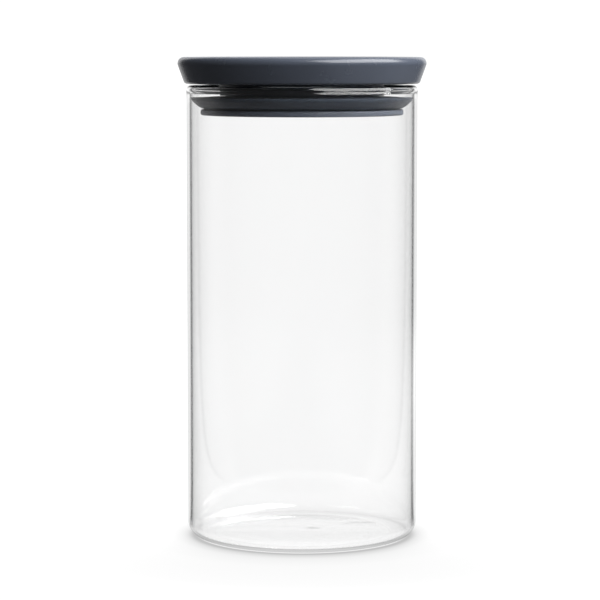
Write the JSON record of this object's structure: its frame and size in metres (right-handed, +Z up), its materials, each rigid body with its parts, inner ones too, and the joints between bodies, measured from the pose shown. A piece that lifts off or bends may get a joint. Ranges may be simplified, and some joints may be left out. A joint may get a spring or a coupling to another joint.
{
  "type": "glass storage container",
  "caption": "Straight cylindrical glass storage jar with a flared push-in lid, whose short neck carries a silicone seal ring that grips inside the mouth.",
  "frame": {"origin": "centre of the foot, on the surface the jar stands on", "axes": "+Z up along the jar's axis of revolution; +X and +Y are equivalent because every piece is turned about Z"},
  "size_m": [0.11, 0.11, 0.2134],
  "materials": {
    "clear_glass": "clear fire-polished borosilicate glass",
    "slate_plastic": "satin slate blue-grey moulded plastic with a fine grain",
    "core_plastic": "satin dark slate moulded plastic",
    "seal_silicone": "soft matt slate silicone",
    "retainer_plastic": "satin slate moulded plastic"
  },
  "bodies": {
    "jar": {"glass_jar": "clear_glass"},
    "lid": {"lid_cap": "slate_plastic", "lid_core": "core_plastic", "seal_ring": "seal_silicone", "seal_retainer": "retainer_plastic"}
  },
  "joints": [
    {"name": "lid_lift", "type": "slide", "parent": "jar", "child": "lid", "axis": [0, 0, 1], "range_m": [0, 0.12]}
  ]
}
